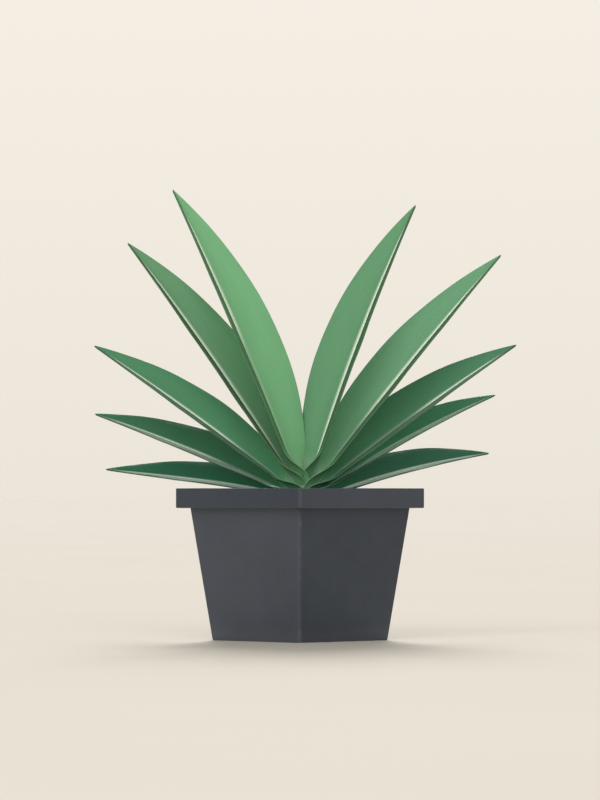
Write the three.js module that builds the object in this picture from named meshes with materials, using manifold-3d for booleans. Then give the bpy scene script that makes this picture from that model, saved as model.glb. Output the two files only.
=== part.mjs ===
// A young dracaena in a square plastic planter, as separate closed solids, in millimetres with +Z up.
// The origin is the centre of the planter's underside. The planter's corners lie on the X and Y axes,
// so -Y is the front corner, and the leaves have turned their faces to that side, as to a window.
import * as THREE from "three";
import { mergeVertices } from "three/addons/utils/BufferGeometryUtils.js";
import Module from "manifold-3d";

const wasm = await Module();
wasm.setup();

// ---- Planter ----
const POT_HEIGHT = 111;
const RIM_HEIGHT = 14.5;
const BODY_TOP_SIDE = 115; // outer side of the body just under the rim band, flat to flat
const RIM_OVERHANG = 7.5; // how far the rim band stands out from the body
const BASE_SIDE = 92; // outer side of the body at the underside
const CORNER_RADIUS = 3;
const INNER_CORNER_RADIUS = 1.5;
const WALL = 2.4;
const FLOOR = 3;
const EDGE_ROUND = 0.8; // small round on the lip and on the lower edges
const DRAIN_RADIUS = 5;
const DRAIN_DISTANCE = 36; // from the axis, towards each corner
const DRAIN_COUNT = 4;

// ---- Soil ----
const WATERING_DEPTH = 19; // rim top down to the soil at the wall
const SOIL_MOUND = 4; // how much higher the soil is at the stem
const FIT = 0.3; // clearance between pieces that touch

// ---- Stem ----
const STEM_OFFSET = 3.3; // the plant stands a little right of the middle
const STEM_RADIUS = 8;
const STEM_HEIGHT = 17; // above the soil, up to where the bud starts
const BUD_RADIUS = 5;
const BUD_HEIGHT = 7;
const STEM_BURIED = 28;
const STEM_BURIED_RADIUS = 6;

// ---- Leaves ----
const CROWN_HEIGHT = 6.4; // height above the soil of the point that the leaves fan out from
const LEAF_THICKNESS = 1.5; // at the midrib
const MARGIN_THICKNESS = 0.8;
const LEAF_BASE_HALF_WIDTH = 6;
const LEAF_SHAPE = 0.87; // under 1 puts the widest place nearer the base than the tip
const HALF_ARCH = 0.06; // how far each half bulges upward, as a share of its width
const BASE_FOLD = 50; // degrees from the middle plane to each half, where the leaf clasps the stem
const EDGE_DIP = 1.5; // degrees by which the near half hangs below level
const TURN_END = 0.14; // share of the length in which the leaf has turned to the facing side
const LEAF_START = 2; // where the midrib starts, from the stem's axis
const MIDRIB_LOW = 0.1; // shares of the way to the tip of the points that steer the midrib
const MIDRIB_MIDDLE = 0.55;
const TIP_THINNING = 0.7; // thickness at the tip, as a share of that at the base
const LAST_RING = 0.985; // share of the length where the blade closes to its point
const LIFT_STEP = 0.5; // a leaf that would touch the rim is lifted over it in steps
const FACING = new THREE.Vector3(0, -1, 0); // the side that the leaves turn their faces to

// Of each leaf: azimuth, counted from +X towards +Y; reach and rise, from the crown to the tip;
// halfWidth, at the widest place; attach, the height of its base above the soil; tilt, how far the upper
// half leans away from the facing side; bow, how far the middle swings in towards the plant's middle
// plane; and arch, how far the middle stands above the straight line to the tip.
const LEAVES = [
  ["leaf_right_1", -13, 83, 215, 29.5, 15, 20, 5, 5],
  ["leaf_left_1", 202, 103, 225, 31, 13, 20, 5, 2.5],
  ["leaf_left_2", 191, 131, 187, 30, 11.5, 24, 6, 2.5],
  ["leaf_right_2", -5, 144, 179, 28.5, 10, 24, 6, 1.5],
  ["leaf_left_3", 180, 154, 113, 25.5, 8.5, 32, 4, 1],
  ["leaf_right_3", 4, 156, 114, 28.5, 7, 32, 4, 1.5],
  ["leaf_left_4", 160, 166, 64, 25.5, 5.5, 38, 0, 1.5],
  ["leaf_right_4", 21, 152, 78, 22.5, 4.5, 36, 0, 5],
  ["leaf_left_5", 143, 188, 23, 19.5, 3, 34, 0, 0],
  ["leaf_right_5", 36, 172, 35, 21.5, 2, 34, 0, 4],
].map(([name, azimuth, reach, rise, halfWidth, attach, tilt, bow, arch]) => (
  { name, azimuth, reach, rise, halfWidth, attach, tilt, bow, arch, lift: 0 }
));

// ---- Fineness ----
const CORNER_STEPS = 4;
const LEAF_STEPS = 20;
const HALF_STEPS = 3; // across each half of a leaf
const ROUND_STEPS = 24;

const rimTop = POT_HEIGHT;
const rimSide = BODY_TOP_SIDE + 2 * RIM_OVERHANG;
const ledge = POT_HEIGHT - RIM_HEIGHT;
const soilEdge = POT_HEIGHT - WATERING_DEPTH;
const soilTop = soilEdge + SOIL_MOUND;
const crown = new THREE.Vector3(STEM_OFFSET, 0, soilTop + CROWN_HEIGHT);
const UP = new THREE.Vector3(0, 0, 1);

const radians = THREE.MathUtils.degToRad;
const mix = THREE.MathUtils.lerp;
const smooth = THREE.MathUtils.smoothstep;

// ---- Solids ----

// A closed skin over a row of rings with as many points each, counter-clockwise seen from the row's end.
function skin(rings, start, end) {
  const count = rings[0].length;
  const points = [...rings.flat(), start, end];
  const startIndex = points.length - 2;
  const endIndex = points.length - 1;
  const faces = [];
  const last = (rings.length - 1) * count;
  for (let j = 0; j < count; j++) {
    const next = (j + 1) % count;
    faces.push(startIndex, next, j, endIndex, last + j, last + next);
    for (let row = 0; row < last; row += count) {
      faces.push(row + j, row + next, row + count + next);
      faces.push(row + j, row + count + next, row + count + j);
    }
  }
  return new THREE.BufferGeometry().setFromPoints(points).setIndex(faces);
}

// A three.js geometry as a manifold-3d solid.
function solid(geometry) {
  const bare = geometry.clone().deleteAttribute("normal").deleteAttribute("uv");
  const merged = mergeVertices(bare, 1e-4);
  return new wasm.Manifold(
    new wasm.Mesh({
      numProp: 3,
      vertProperties: merged.attributes.position.array,
      triVerts: new Uint32Array(merged.index.array),
    }),
  );
}

// The solid's largest body as a three.js geometry.
function geometryOf(made) {
  const bodies = made.decompose().sort((a, b) => b.volume() - a.volume());
  const mesh = bodies[0].getMesh();
  return new THREE.BufferGeometry()
    .setAttribute("position", new THREE.BufferAttribute(mesh.vertProperties, 3))
    .setIndex(new THREE.BufferAttribute(mesh.triVerts, 1));
}

// ---- Planter ----

// A square outline with rounded corners, which lie on the X and Y axes.
function squareRing(side, radius, z) {
  const reach = (side / 2 - radius) * Math.SQRT2;
  const ring = [];
  for (let corner = 0; corner < 4; corner++) {
    const middle = (corner * Math.PI) / 2;
    for (let step = 0; step <= CORNER_STEPS; step++) {
      const angle = middle + (step / CORNER_STEPS - 0.5) * (Math.PI / 2);
      ring.push(
        new THREE.Vector3(
          reach * Math.cos(middle) + radius * Math.cos(angle),
          reach * Math.sin(middle) + radius * Math.sin(angle),
          z,
        ),
      );
    }
  }
  return ring;
}

// The body's outer side at a height.
function bodySide(z) {
  return mix(BASE_SIDE, BODY_TOP_SIDE, z / ledge);
}

function planterSolid() {
  const outer = (side, z) => squareRing(side, CORNER_RADIUS, z);
  const inner = (side, z) => squareRing(side - 2 * WALL, INNER_CORNER_RADIUS, z);
  const rings = [
    outer(BASE_SIDE - 2 * EDGE_ROUND, 0),
    outer(bodySide(EDGE_ROUND), EDGE_ROUND),
    outer(BODY_TOP_SIDE, ledge),
    outer(rimSide - 2 * EDGE_ROUND, ledge),
    outer(rimSide, ledge + EDGE_ROUND),
    outer(rimSide, rimTop - EDGE_ROUND),
    outer(rimSide - 2 * EDGE_ROUND, rimTop),
    inner(rimSide + EDGE_ROUND, rimTop),
    inner(rimSide, rimTop - EDGE_ROUND),
    inner(rimSide, ledge + WALL),
    inner(BODY_TOP_SIDE, ledge + WALL - EDGE_ROUND),
    inner(BODY_TOP_SIDE, ledge),
    inner(bodySide(FLOOR), FLOOR),
  ];
  const start = new THREE.Vector3(0, 0, 0);
  const end = new THREE.Vector3(0, 0, FLOOR);
  let made = solid(skin(rings, start, end));
  for (let hole = 0; hole < DRAIN_COUNT; hole++) {
    const angle = (hole * 2 * Math.PI) / DRAIN_COUNT;
    const drain = new THREE.CylinderGeometry(DRAIN_RADIUS, DRAIN_RADIUS, 3 * FLOOR, ROUND_STEPS);
    drain.rotateX(Math.PI / 2);
    drain.translate(DRAIN_DISTANCE * Math.cos(angle), DRAIN_DISTANCE * Math.sin(angle), 0);
    made = made.subtract(solid(drain));
  }
  return made;
}

// ---- Stem ----

// A round body about the stem's axis. grow makes it thicker all round, to cut room for it.
function stemGeometry(grow = 0) {
  const bottom = soilTop - STEM_BURIED;
  const top = soilTop + STEM_HEIGHT;
  const outline = [
    [0, bottom - grow],
    [STEM_BURIED_RADIUS + grow, bottom - grow],
    [STEM_RADIUS + grow, soilTop],
    [STEM_RADIUS + grow, crown.z],
    [BUD_RADIUS + grow, top],
    [BUD_RADIUS * 0.6 + grow, top + BUD_HEIGHT * 0.6],
    [0, top + BUD_HEIGHT + 2 * grow],
  ];
  const profile = outline.map(([radius, z]) => new THREE.Vector2(radius, z));
  return new THREE.LatheGeometry(profile, ROUND_STEPS).rotateX(Math.PI / 2).translate(STEM_OFFSET, 0, 0);
}

// ---- Soil ----

function soilGeometry() {
  const fill = (z) => bodySide(Math.min(z, ledge)) - 2 * WALL - 2 * FIT;
  const low = FLOOR + FIT;
  const ring = (side, z) => squareRing(side, INNER_CORNER_RADIUS, z);
  const mound = [0.85, 0.6, 0.35].map((share) =>
    ring(fill(soilEdge) * share, soilEdge + SOIL_MOUND * Math.cos((share * Math.PI) / 2)),
  );
  const rings = [ring(fill(low), low), ring(fill(soilEdge), soilEdge), ...mound];
  const start = new THREE.Vector3(0, 0, low);
  const end = new THREE.Vector3(0, 0, soilTop);
  return geometryOf(solid(skin(rings, start, end)).subtract(solid(stemGeometry(FIT))));
}

// ---- Leaves ----

// A direction made square to the midrib.
function across(direction, tangent) {
  return direction.clone().addScaledVector(tangent, -direction.dot(tangent)).normalize();
}

// The direction square to the midrib and level with the facing plane, on the blade's upper side.
function faceOf(tangent) {
  const face = across(FACING, tangent).cross(tangent).normalize();
  return face.z < 0 ? face.negate() : face;
}

// The midrib from inside the stem to the tip. It leaves the stem, meets the straight line from the
// crown to the tip, and follows it, but for the leaf's bow and arch.
function midrib(leaf) {
  const angle = radians(leaf.azimuth);
  const outward = new THREE.Vector3(Math.cos(angle), Math.sin(angle), 0);
  const span = outward.clone().multiplyScalar(leaf.reach).addScaledVector(UP, leaf.rise);
  const base = new THREE.Vector3(STEM_OFFSET, 0, soilTop + leaf.attach);
  const inward = -Math.sign(outward.dot(FACING)) * leaf.bow;
  const low = crown.clone().addScaledVector(span, MIDRIB_LOW).addScaledVector(UP, leaf.lift);
  const middle = crown.clone().addScaledVector(span, MIDRIB_MIDDLE).addScaledVector(FACING, inward);
  middle.addScaledVector(faceOf(span.clone().normalize()), leaf.arch);
  return new THREE.CubicBezierCurve3(
    base.addScaledVector(outward, LEAF_START),
    low,
    middle,
    crown.clone().add(span),
  );
}

// The blade's half width at a share of the leaf's length, from its base to its tip.
function halfWidth(leaf, share) {
  const along = share ** LEAF_SHAPE;
  const clasp = LEAF_BASE_HALF_WIDTH * (1 - smooth(share, 0, TURN_END));
  return leaf.halfWidth * 4 * along * (1 - along) + clasp;
}

// The direction that the blade's channel opens to, and the angle from there to each half. The base is
// folded upward round the stem. From there the leaf turns, until its near half is edge-on to the facing
// side and its upper half leans back from that side by the tilt.
function section(leaf, tangent, share) {
  const roll = radians((90 + EDGE_DIP - leaf.tilt) / 2);
  const fold = radians((90 + EDGE_DIP + leaf.tilt) / 2);
  const blade = faceOf(tangent).multiplyScalar(Math.cos(roll));
  blade.addScaledVector(across(FACING, tangent), Math.sin(roll));
  const turned = smooth(share, 0, TURN_END);
  const open = across(across(UP, tangent).lerp(blade, turned), tangent);
  return { open, fold: mix(radians(BASE_FOLD), fold, turned) };
}

// One cross-section of the blade, as a closed ring: over the upper face and back under the lower one.
function leafRing(leaf, point, tangent, share, grow) {
  const { open, fold } = section(leaf, tangent, share);
  const side = tangent.clone().cross(open);
  const width = halfWidth(leaf, share) + grow;
  const upper = [];
  const lower = [];
  for (let step = -HALF_STEPS; step <= HALF_STEPS; step++) {
    const extent = Math.abs(step / HALF_STEPS);
    const sign = Math.sign(step);
    const out = open.clone().multiplyScalar(Math.cos(fold)).addScaledVector(side, sign * Math.sin(fold));
    const normal = open.clone();
    if (sign) normal.multiplyScalar(Math.sin(fold)).addScaledVector(side, -sign * Math.cos(fold));
    const arch = HALF_ARCH * width * 4 * extent * (1 - extent);
    const middle = point.clone().addScaledVector(out, width * extent).addScaledVector(normal, arch);
    const thinning = mix(1, TIP_THINNING, share);
    const thickness = mix(LEAF_THICKNESS, MARGIN_THICKNESS, extent) * thinning + 2 * grow;
    upper.push(middle.clone().addScaledVector(normal, thickness / 2));
    lower.unshift(middle.addScaledVector(normal, -thickness / 2));
  }
  return [...upper, ...lower];
}

// A whole blade. grow makes it thicker and wider all round, to cut room for it.
function bladeGeometry(leaf, grow = 0) {
  const rib = midrib(leaf);
  const rings = [];
  for (let step = 0; step < LEAF_STEPS; step++) {
    const share = Math.min(step / (LEAF_STEPS - 1), LAST_RING);
    rings.push(leafRing(leaf, rib.getPointAt(share), rib.getTangentAt(share), share, grow));
  }
  return skin(rings, rib.getPointAt(0), rib.getPointAt(1));
}

// The leaf as it is, or arched just enough at its base to pass over the rim.
function overRim(leaf, planter) {
  const raised = { ...leaf };
  while (solid(bladeGeometry(raised, FIT)).intersect(planter).volume() > 0) raised.lift += LIFT_STEP;
  return raised;
}

// Every leaf from the youngest down. Each stops short of the stem and of the younger leaves inside it.
function leafGeometries(planter) {
  const made = [];
  let room = solid(stemGeometry(FIT));
  for (const leaf of LEAVES.map((each) => overRim(each, planter))) {
    made.push({ name: leaf.name, geometry: geometryOf(solid(bladeGeometry(leaf)).subtract(room)) });
    room = room.add(solid(bladeGeometry(leaf, FIT)));
  }
  return made;
}

// ---- Materials ----
const finish = (color, roughness) => new THREE.MeshStandardMaterial({ color, roughness, metalness: 0 });
const charcoal = finish(0x45484d, 0.6);
const earth = finish(0x3b2a1e, 0.95);
const cane = finish(0x9a8f63, 0.7);
const LEAF_GREENS = {
  leaf_left_1: 0x6fa674,
  leaf_left_2: 0x54805a,
  leaf_left_3: 0x467855,
  leaf_left_4: 0x2f573d,
  leaf_left_5: 0x274e38,
  leaf_right_1: 0x66976d,
  leaf_right_2: 0x5e8c65,
  leaf_right_3: 0x406b4d,
  leaf_right_4: 0x356245,
  leaf_right_5: 0x264634,
};

// ---- Assembly ----
function piece(name, geometry, material) {
  const mesh = new THREE.Mesh(geometry, material);
  mesh.name = name;
  return mesh;
}

const pottedDracaena = new THREE.Group();
const plant = new THREE.Group();
const planter = planterSolid();
pottedDracaena.add(piece("planter", geometryOf(planter), charcoal));
pottedDracaena.add(piece("soil", soilGeometry(), earth));
plant.add(piece("stem", stemGeometry(), cane));
for (const { name, geometry } of leafGeometries(planter)) {
  plant.add(piece(name, geometry, finish(LEAF_GREENS[name], 0.5)));
}
pottedDracaena.add(plant);

export default pottedDracaena;
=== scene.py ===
"""A young potted dracaena, dressed for a soft, even studio light.

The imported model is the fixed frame. Planter, soil, stem and leaves stand where it has them, and
every piece built here stands for one of its nodes, apart from the bits that lie on the soil. Sizes
are in millimetres and angles in degrees, unless a name or a comment says otherwise. The scene
itself is in metres.
"""

from __future__ import annotations

import logging
import math
import random
from collections.abc import Iterable, Sequence
from dataclasses import dataclass
from enum import Enum

import bpy
from bpy.types import Material, Mesh, Node, NodeSocket, NodeTree, Object
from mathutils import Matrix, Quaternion, Vector, noise


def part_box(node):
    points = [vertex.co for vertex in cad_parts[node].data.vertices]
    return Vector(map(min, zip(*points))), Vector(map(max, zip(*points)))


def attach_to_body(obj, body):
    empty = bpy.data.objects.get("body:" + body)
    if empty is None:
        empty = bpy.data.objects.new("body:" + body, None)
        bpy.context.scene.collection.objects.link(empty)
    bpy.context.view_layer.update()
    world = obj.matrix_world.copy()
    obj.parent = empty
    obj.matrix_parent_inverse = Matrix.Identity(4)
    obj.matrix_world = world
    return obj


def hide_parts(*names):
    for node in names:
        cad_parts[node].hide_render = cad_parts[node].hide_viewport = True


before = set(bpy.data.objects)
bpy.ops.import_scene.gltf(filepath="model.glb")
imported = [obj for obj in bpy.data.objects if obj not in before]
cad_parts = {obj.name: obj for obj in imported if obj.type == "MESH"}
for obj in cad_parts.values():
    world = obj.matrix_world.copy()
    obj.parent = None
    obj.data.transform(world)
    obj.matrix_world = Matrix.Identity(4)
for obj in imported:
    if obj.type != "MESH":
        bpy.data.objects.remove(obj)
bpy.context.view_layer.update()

log = logging.getLogger("dracaena")

MM = 0.001
BODY = "root"
UP = Vector((0, 0, 1))
FACING = Vector((0, -1, 0))  # the side that the leaves turn their faces to

Colour = tuple[float, float, float, float]
Triple = tuple[float, float, float]
Span = tuple[float, float]
Feed = NodeSocket | float | Sequence[float]
Ring = list[Vector]
Faces = list[tuple[int, ...]]


# ---- Small sums ----


def tint(code: int) -> Colour:
    """Turns a screen colour into the linear colour that shaders work in.

    Args:
        code: The colour as 0xRRGGBB.

    Returns:
        Linear red, green, blue and an alpha of 1.
    """
    parts = [(code >> shift & 0xFF) / 255 for shift in (16, 8, 0)]
    linear = [p / 12.92 if p <= 0.04045 else ((p + 0.055) / 1.055) ** 2.4 for p in parts]
    return linear[0], linear[1], linear[2], 1.0


def mix(first: float, second: float, share: float) -> float:
    """Returns the value a share of the way from first to second."""
    return first + (second - first) * share


def smooth(value: float, low: float, high: float) -> float:
    """Returns an eased 0 to 1 as value goes from low to high."""
    share = min(max((value - low) / (high - low), 0.0), 1.0)
    return share * share * (3 - 2 * share)


def square_to(direction: Vector, tangent: Vector) -> Vector:
    """Returns the part of direction that is square to tangent, one long."""
    return (direction - tangent * direction.dot(tangent)).normalized()


def circle(radius: float, z: float, steps: int, start: float = 0.0) -> Ring:
    """Returns a level circle about the Z axis, whose first point is at start, in radians."""
    turn = [2 * math.pi * step / steps + start for step in range(steps)]
    return [Vector((radius * math.cos(a), radius * math.sin(a), z)) for a in turn]


def rounded_square(side: float, corner: float, z: float, corner_steps: int) -> Ring:
    """Draws a level square whose corners lie on the X and Y axes.

    Args:
        side: The square's side, flat to flat.
        corner: The radius of its corners.
        z: Its height.
        corner_steps: How many straight pieces a corner is made of.

    Returns:
        Its points, counter-clockwise from above.
    """
    reach = (side / 2 - corner) * math.sqrt(2)
    points = []
    for quarter in range(4):
        middle = quarter * math.pi / 2
        for step in range(corner_steps + 1):
            angle = middle + (step / corner_steps - 0.5) * math.pi / 2
            x = reach * math.cos(middle) + corner * math.cos(angle)
            y = reach * math.sin(middle) + corner * math.sin(angle)
            points.append(Vector((x, y, z)))
    return points


# ---- Shader building ----


class SocketKind(Enum):
    """What a node group's socket carries."""

    VALUE = "NodeSocketFloat"
    COLOUR = "NodeSocketColor"
    VECTOR = "NodeSocketVector"


class Graph:
    """A node tree that is filled in by small typed calls."""

    def __init__(self, tree: NodeTree) -> None:
        """Wraps a node tree."""
        self.tree = tree

    def node(self, kind: str, **settings: object) -> Node:
        """Adds a node.

        Args:
            kind: The node's type.
            **settings: The node's own properties.

        Returns:
            The new node.
        """
        made = self.tree.nodes.new(kind)
        for name, value in settings.items():
            setattr(made, name, value)
        return made

    def feed(self, socket: NodeSocket, value: Feed) -> None:
        """Links a socket to an input, or sets the input to a plain value.

        Args:
            socket: The input.
            value: Another node's output, or a number, a vector or a colour.
        """
        if isinstance(value, NodeSocket):
            self.tree.links.new(value, socket)
        elif socket.type == "VECTOR":
            socket.default_value = value[:3]
        else:
            socket.default_value = value

    def feed_all(self, node: Node, values: dict[str, Feed]) -> None:
        """Feeds a node's inputs by name."""
        for name, value in values.items():
            self.feed(node.inputs[name], value)

    def sum(self, operation: str, *values: Feed, clamp: bool = False) -> NodeSocket:
        """Adds a Math node.

        Args:
            operation: The Math node's operation.
            *values: Its inputs, each a socket or a number.
            clamp: Whether the result stays between 0 and 1.

        Returns:
            The result's socket.
        """
        made = self.node("ShaderNodeMath", operation=operation, use_clamp=clamp)
        for socket, value in zip(made.inputs, values):
            self.feed(socket, value)
        return made.outputs[0]

    def times(self, first: Feed, second: Feed) -> NodeSocket:
        """Returns the product of two values."""
        return self.sum("MULTIPLY", first, second)

    def ramp(
        self, value: Feed, low: Feed, high: Feed, start: Feed = 0.0, end: Feed = 1.0
    ) -> NodeSocket:
        """Adds an eased Map Range node.

        Args:
            value: What is mapped.
            low: The value that gives start.
            high: The value that gives end.
            start: The result at low.
            end: The result at high.

        Returns:
            The result's socket.
        """
        made = self.node("ShaderNodeMapRange", interpolation_type="SMOOTHSTEP")
        for socket, given in zip(made.inputs, (value, low, high, start, end)):
            self.feed(socket, given)
        return made.outputs[0]

    def blend(self, factor: Feed, first: Feed, second: Feed) -> NodeSocket:
        """Adds a colour mix.

        Args:
            factor: The share of the second colour.
            first: The colour at 0.
            second: The colour at 1.

        Returns:
            The mixed colour's socket.
        """
        made = self.node("ShaderNodeMix", data_type="RGBA")
        for index, value in ((0, factor), (6, first), (7, second)):
            self.feed(made.inputs[index], value)
        return made.outputs[2]

    def scale(self, vector: Feed, factor: Feed) -> NodeSocket:
        """Scales a vector or a colour evenly.

        Args:
            vector: The vector or colour.
            factor: What it is multiplied by.

        Returns:
            The result's socket.
        """
        made = self.node("ShaderNodeVectorMath", operation="SCALE")
        self.feed(made.inputs[0], vector)
        self.feed(made.inputs["Scale"], factor)
        return made.outputs[0]

    def stretch(self, vector: Feed, factors: Triple) -> NodeSocket:
        """Scales a vector by its own factor along each axis.

        Args:
            vector: The vector.
            factors: The three factors.

        Returns:
            The result's socket.
        """
        made = self.node("ShaderNodeVectorMath", operation="MULTIPLY")
        self.feed(made.inputs[0], vector)
        self.feed(made.inputs[1], factors)
        return made.outputs[0]

    def length(self, vector: Feed) -> NodeSocket:
        """Measures a vector.

        Args:
            vector: The vector.

        Returns:
            Its length's socket.
        """
        made = self.node("ShaderNodeVectorMath", operation="LENGTH")
        self.feed(made.inputs[0], vector)
        return made.outputs["Value"]

    def split(self, vector: Feed) -> tuple[NodeSocket, NodeSocket, NodeSocket]:
        """Takes a vector apart.

        Args:
            vector: The vector.

        Returns:
            The sockets of its three parts.
        """
        made = self.node("ShaderNodeSeparateXYZ")
        self.feed(made.inputs[0], vector)
        return made.outputs[0], made.outputs[1], made.outputs[2]

    def noise(self, place: Feed, scale: Feed, detail: Feed = 3.0, rough: Feed = 0.55) -> NodeSocket:
        """Adds a noise texture.

        Args:
            place: Where it is read.
            scale: How fine it is.
            detail: How many finer layers it has.
            rough: How strong the finer layers are.

        Returns:
            Its value, about 0 to 1.
        """
        made = self.node("ShaderNodeTexNoise")
        given = {"Vector": place, "Scale": scale, "Detail": detail, "Roughness": rough}
        self.feed_all(made, given)
        return made.outputs["Fac"]

    def here(self) -> NodeSocket:
        """Returns the place on the object, in metres."""
        return self.node("ShaderNodeTexCoord").outputs["Object"]

    def own(self, name: str) -> NodeSocket:
        """Returns the vector that the mesh carries under a name."""
        return self.node("ShaderNodeAttribute", attribute_name=name).outputs["Vector"]

    def bump(self, height: Feed, depth: float, strength: float) -> NodeSocket:
        """Turns a height into a normal.

        Args:
            height: The height, about 0 to 1.
            depth: How deep 1 is.
            strength: How far the normal follows it.

        Returns:
            The normal's socket.
        """
        made = self.node("ShaderNodeBump")
        self.feed_all(made, {"Strength": strength, "Distance": depth * MM, "Height": height})
        return made.outputs["Normal"]


class Effect:
    """A surface effect that several materials share, kept as one node group."""

    title: str = ""
    takes: tuple[tuple[str, SocketKind], ...] = ()
    gives: tuple[tuple[str, SocketKind], ...] = ()

    def wire(self, graph: Graph, given: dict[str, NodeSocket]) -> dict[str, NodeSocket]:
        """Builds the effect's nodes.

        Args:
            graph: The group's own graph.
            given: The group's inputs by name.

        Returns:
            What feeds each of the group's outputs.
        """
        raise NotImplementedError

    def group(self) -> NodeTree:
        """Builds the effect's node group, the first time it is asked for.

        Returns:
            The node group.
        """
        made = bpy.data.node_groups.get(self.title)
        if made is not None:
            return made
        made = bpy.data.node_groups.new(self.title, "ShaderNodeTree")
        for name, kind in self.takes:
            made.interface.new_socket(name, in_out="INPUT", socket_type=kind.value)
        for name, kind in self.gives:
            made.interface.new_socket(name, in_out="OUTPUT", socket_type=kind.value)
        graph = Graph(made)
        entry, leave = graph.node("NodeGroupInput"), graph.node("NodeGroupOutput")
        given = {name: entry.outputs[name] for name, _ in self.takes}
        graph.feed_all(leave, self.wire(graph, given))
        return made

    def place(self, graph: Graph, **given: Feed) -> dict[str, NodeSocket]:
        """Puts the effect into a material.

        Args:
            graph: The material's graph.
            **given: A socket or a value for each input, with _ for a space in its name.

        Returns:
            The effect's outputs by name.
        """
        made = graph.node("ShaderNodeGroup", node_tree=self.group())
        graph.feed_all(made, {name.replace("_", " "): value for name, value in given.items()})
        return {name: made.outputs[name] for name, _ in self.gives}


class Mottle(Effect):
    """Slow, uneven change of tone over a surface."""

    title = "mottle"
    takes = (
        ("Place", SocketKind.VECTOR),
        ("Scale", SocketKind.VALUE),
        ("Low", SocketKind.VALUE),
        ("High", SocketKind.VALUE),
    )
    gives = (("Value", SocketKind.VALUE),)
    layers: Span = (4.0, 0.6)
    ends: Span = (0.3, 0.7)

    def wire(self, graph: Graph, given: dict[str, NodeSocket]) -> dict[str, NodeSocket]:
        """Stretches a soft noise between the two ends."""
        cloud = graph.noise(given["Place"], given["Scale"], *self.layers)
        return {"Value": graph.ramp(cloud, *self.ends, given["Low"], given["High"])}


class Grain(Effect):
    """Fine pits and pimples, as on moulded plastic, soil or bark."""

    title = "grain"
    takes = (
        ("Place", SocketKind.VECTOR),
        ("Scale", SocketKind.VALUE),
        ("Coarse", SocketKind.VALUE),
    )
    gives = (("Height", SocketKind.VALUE),)
    layers: Span = (2.0, 0.7)
    lump_scale: float = 0.17
    lump_detail: float = 2.0

    def wire(self, graph: Graph, given: dict[str, NodeSocket]) -> dict[str, NodeSocket]:
        """Adds a share of coarser lumps to a fine noise.

        Args:
            graph: The group's own graph.
            given: The group's inputs by name.

        Returns:
            The height.
        """
        fine = graph.noise(given["Place"], given["Scale"], *self.layers)
        wider = graph.times(given["Scale"], self.lump_scale)
        lumps = graph.noise(given["Place"], wider, self.lump_detail)
        return {"Height": graph.sum("ADD", fine, graph.times(lumps, given["Coarse"]))}


class SettledDust(Effect):
    """Dust that lies in patches on what faces up."""

    title = "settled_dust"
    takes = (
        ("Place", SocketKind.VECTOR),
        ("Scale", SocketKind.VALUE),
        ("Amount", SocketKind.VALUE),
    )
    gives = (("Mask", SocketKind.VALUE),)
    layers: Span = (5.0, 0.65)
    level_ends: Span = (0.25, 0.95)
    patch_ends: Span = (0.35, 0.7)

    def wire(self, graph: Graph, given: dict[str, NodeSocket]) -> dict[str, NodeSocket]:
        """Lets a patchy noise through where the surface faces up.

        Args:
            graph: The group's own graph.
            given: The group's inputs by name.

        Returns:
            The mask, from 0 to the amount.
        """
        normal = graph.node("ShaderNodeNewGeometry").outputs["Normal"]
        level = graph.ramp(graph.split(normal)[2], *self.level_ends)
        patches = graph.noise(given["Place"], given["Scale"], *self.layers)
        lying = graph.times(level, graph.ramp(patches, *self.patch_ends))
        return {"Mask": graph.times(lying, given["Amount"])}


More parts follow.
